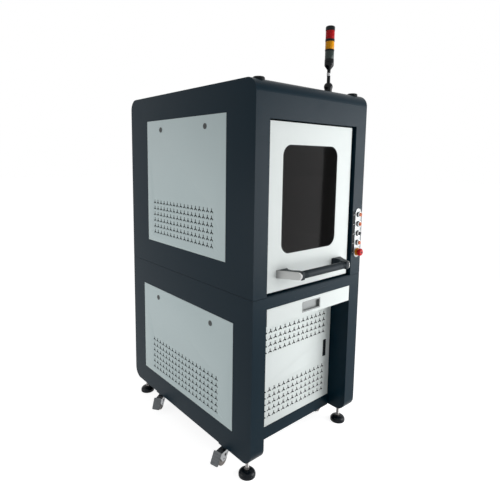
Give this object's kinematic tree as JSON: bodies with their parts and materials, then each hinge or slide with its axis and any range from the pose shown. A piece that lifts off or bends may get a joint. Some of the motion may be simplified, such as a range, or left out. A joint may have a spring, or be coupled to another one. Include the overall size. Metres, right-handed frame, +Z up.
{
  "type": "enclosed laser marking machine",
  "caption": "Tall enclosed marking cabinet: lift-up windowed door over a work table and focus axis, keyboard drawer, vented lower door, control buttons, signal tower, feet and casters.",
  "frame": {"origin": "centre of the overall box, on the floor that the levelling feet stand on", "axes": "+X to the right seen from the front, +Y to the rear, +Z up"},
  "size_m": [0.8926, 1.186, 2.084],
  "materials": {
    "cabinet_paint": "fine textured powder coat, dark blue grey",
    "panel_paint": "fine textured powder coat, pale grey",
    "door_paint": "smooth powder coat, white",
    "window_glass": "dark tinted, glossy",
    "handle_plastic": "dark grey moulded",
    "handle_metal": "satin",
    "bright_metal": "bright zinc or chrome plate",
    "sheet_zinc": "plain zinc plate",
    "machined_aluminium": "anodised",
    "black_plastic": "fine grain",
    "black_gloss": "glossy",
    "black_rubber": "matt",
    "wheel_plastic": "smooth grey brown",
    "pedal_plastic": "ribbed grey",
    "orange_cap": "translucent orange",
    "stop_red": "moulded red",
    "stop_yellow": "moulded yellow",
    "lens_red": "translucent red",
    "lens_amber": "translucent amber",
    "lens_green": "dark translucent green, unlit",
    "unit_paint": "black powder coat"
  },
  "bodies": {
    "cabinet": {"upper_cabinet": "cabinet_paint", "lower_cabinet": "cabinet_paint", "left_upper_panel": "panel_paint", "left_lower_panel": "panel_paint", "right_upper_panel": "panel_paint", "right_lower_panel": "panel_paint", "rear_panels": "panel_paint", "panel_locks": "bright_metal", "work_table": "machined_aluminium", "z_axis_column": "machined_aluminium", "laser_source": "unit_paint", "control_computer": "unit_paint", "power_inlet": "black_plastic", "drawer_rails": "sheet_zinc", "caster_plates": "cabinet_paint", "foot_pads": "black_rubber", "foot_stems": "bright_metal", "button_plate": "handle_metal", "button_bezels": "bright_metal", "estop_collar": "stop_yellow", "tower_base": "black_gloss", "tower_pole": "black_plastic", "tower_housing": "black_plastic", "tower_lens_red": "lens_red", "tower_lens_amber": "lens_amber", "tower_lens_green": "lens_green", "roof_plugs": "black_plastic"},
    "door": {"front_door": "door_paint", "door_window": "window_glass", "handle_brackets": "handle_plastic", "handle_covers": "handle_metal", "handle_grip": "handle_plastic"},
    "drawer": {"drawer_tray": "door_paint", "drawer_pull": "bright_metal"},
    "drawer_middles": {"drawer_slides": "sheet_zinc"},
    "cupboard_door": {"lower_door": "door_paint"},
    "cupboard_latch": {"lower_latch": "black_plastic"},
    "stop_button": {"estop_head": "stop_red"},
    "focus_head": {"z_carriage": "machined_aluminium", "scan_head": "machined_aluminium"},
    "push_button_1": {"button_1": "orange_cap"},
    "push_button_2": {"button_2": "orange_cap"},
    "push_button_3": {"button_3": "black_gloss"},
    "push_button_4": {"button_4": "orange_cap"},
    "strut_tube_left": {"strut_cylinder_left": "black_gloss"},
    "strut_piston_left": {"strut_rod_left": "bright_metal"},
    "strut_tube_right": {"strut_cylinder_right": "black_gloss"},
    "strut_piston_right": {"strut_rod_right": "bright_metal"},
    "caster_fl": {"caster_fork_fl": "bright_metal"},
    "wheel_fl": {"caster_wheel_fl": "wheel_plastic"},
    "pedal_fl": {"caster_pedal_fl": "pedal_plastic"},
    "caster_fr": {"caster_fork_fr": "bright_metal"},
    "wheel_fr": {"caster_wheel_fr": "wheel_plastic"},
    "pedal_fr": {"caster_pedal_fr": "pedal_plastic"},
    "caster_rl": {"caster_fork_rl": "bright_metal"},
    "wheel_rl": {"caster_wheel_rl": "wheel_plastic"},
    "pedal_rl": {"caster_pedal_rl": "pedal_plastic"},
    "caster_rr": {"caster_fork_rr": "bright_metal"},
    "wheel_rr": {"caster_wheel_rr": "wheel_plastic"},
    "pedal_rr": {"caster_pedal_rr": "pedal_plastic"}
  },
  "joints": [
    {"name": "door_lift", "type": "hinge", "parent": "cabinet", "child": "door", "pos_m": [0, -0.481, 1.596], "axis": [-1, 0, 0], "range_deg": [0, 80]},
    {"name": "drawer_slide", "type": "slide", "parent": "cabinet", "child": "drawer", "axis": [0, -1, 0], "range_m": [0, 0.33]},
    {"name": "middle_slide", "type": "slide", "parent": "cabinet", "child": "drawer_middles", "axis": [0, -1, 0], "range_m": [0, 0.166]},
    {"name": "cupboard_hinge", "type": "hinge", "parent": "cabinet", "child": "cupboard_door", "pos_m": [-0.2875, -0.3875, 0.4], "axis": [0, 0, -1], "range_deg": [0, 90]},
    {"name": "latch_lever", "type": "hinge", "parent": "cupboard_door", "child": "cupboard_latch", "pos_m": [0.2505, -0.3915, 0.4745], "axis": [-1, 0, 0], "range_deg": [0, 45]},
    {"name": "stop_press", "type": "slide", "parent": "cabinet", "child": "stop_button", "axis": [0, 1, 0], "range_m": [0, 0.005]},
    {"name": "focus_slide", "type": "slide", "parent": "cabinet", "child": "focus_head", "axis": [0, 0, 1], "range_m": [-0.12, 0.12]},
    {"name": "press_1", "type": "slide", "parent": "cabinet", "child": "push_button_1", "axis": [0, 1, 0], "range_m": [0, 0.004], "stiffness_N_per_m": 300},
    {"name": "press_2", "type": "slide", "parent": "cabinet", "child": "push_button_2", "axis": [0, 1, 0], "range_m": [0, 0.004], "stiffness_N_per_m": 300},
    {"name": "press_3", "type": "slide", "parent": "cabinet", "child": "push_button_3", "axis": [0, 1, 0], "range_m": [0, 0.004], "stiffness_N_per_m": 300},
    {"name": "press_4", "type": "slide", "parent": "cabinet", "child": "push_button_4", "axis": [0, 1, 0], "range_m": [0, 0.004], "stiffness_N_per_m": 300},
    {"name": "strut_swing_left", "type": "hinge", "parent": "cabinet", "child": "strut_tube_left", "pos_m": [-0.266, -0.431, 1.586], "axis": [-1, 0, 0], "range_deg": [0, 71]},
    {"name": "strut_stroke_left", "type": "slide", "parent": "strut_tube_left", "child": "strut_piston_left", "axis": [0, -0.0929, -0.9957], "range_m": [0, 0.06]},
    {"name": "strut_swing_right", "type": "hinge", "parent": "cabinet", "child": "strut_tube_right", "pos_m": [0.266, -0.431, 1.586], "axis": [-1, 0, 0], "range_deg": [0, 71]},
    {"name": "strut_stroke_right", "type": "slide", "parent": "strut_tube_right", "child": "strut_piston_right", "axis": [0, -0.0929, -0.9957], "range_m": [0, 0.06]},
    {"name": "swivel_fl", "type": "hinge", "parent": "cabinet", "child": "caster_fl", "pos_m": [-0.3495, -0.299, 0.068], "axis": [0, 0, 1], "continuous": true},
    {"name": "roll_fl", "type": "hinge", "parent": "caster_fl", "child": "wheel_fl", "pos_m": [-0.38621, -0.30884, 0.034], "axis": [-0.2588, 0.9659, 0], "continuous": true},
    {"name": "brake_fl", "type": "hinge", "parent": "caster_fl", "child": "pedal_fl", "pos_m": [-0.4118, -0.31569, 0.062], "axis": [0.2588, -0.9659, 0], "range_deg": [0, 20]},
    {"name": "swivel_fr", "type": "hinge", "parent": "cabinet", "child": "caster_fr", "pos_m": [0.3495, -0.299, 0.068], "axis": [0, 0, 1], "continuous": true},
    {"name": "roll_fr", "type": "hinge", "parent": "caster_fr", "child": "wheel_fr", "pos_m": [0.31279, -0.30884, 0.034], "axis": [-0.2588, 0.9659, 0], "continuous": true},
    {"name": "brake_fr", "type": "hinge", "parent": "caster_fr", "child": "pedal_fr", "pos_m": [0.2872, -0.31569, 0.062], "axis": [0.2588, -0.9659, 0], "range_deg": [0, 20]},
    {"name": "swivel_rl", "type": "hinge", "parent": "cabinet", "child": "caster_rl", "pos_m": [-0.3495, 0.303, 0.068], "axis": [0, 0, 1], "continuous": true},
    {"name": "roll_rl", "type": "hinge", "parent": "caster_rl", "child": "wheel_rl", "pos_m": [-0.38063, 0.2812, 0.034], "axis": [-0.5736, 0.8192, 0], "continuous": true},
    {"name": "brake_rl", "type": "hinge", "parent": "caster_rl", "child": "pedal_rl", "pos_m": [-0.40233, 0.266, 0.062], "axis": [0.5736, -0.8192, 0], "range_deg": [0, 20]},
    {"name": "swivel_rr", "type": "hinge", "parent": "cabinet", "child": "caster_rr", "pos_m": [0.3495, 0.303, 0.068], "axis": [0, 0, 1], "continuous": true},
    {"name": "roll_rr", "type": "hinge", "parent": "caster_rr", "child": "wheel_rr", "pos_m": [0.38621, 0.31283, 0.034], "axis": [0.2588, -0.9659, 0], "continuous": true},
    {"name": "brake_rr", "type": "hinge", "parent": "caster_rr", "child": "pedal_rr", "pos_m": [0.4118, 0.31969, 0.062], "axis": [-0.2588, 0.9659, 0], "range_deg": [0, 20]}
  ],
  "couplings": [
    {"joint": "middle_slide", "follows": "drawer_slide", "ratio": 0.5},
    {"joint": "strut_swing_left", "follows": "door_lift", "ratio": 0.87319},
    {"joint": "strut_stroke_left", "follows": "door_lift", "m_per_rad": 0.041243},
    {"joint": "strut_swing_right", "follows": "door_lift", "ratio": 0.87319},
    {"joint": "strut_stroke_right", "follows": "door_lift", "m_per_rad": 0.041243}
  ]
}
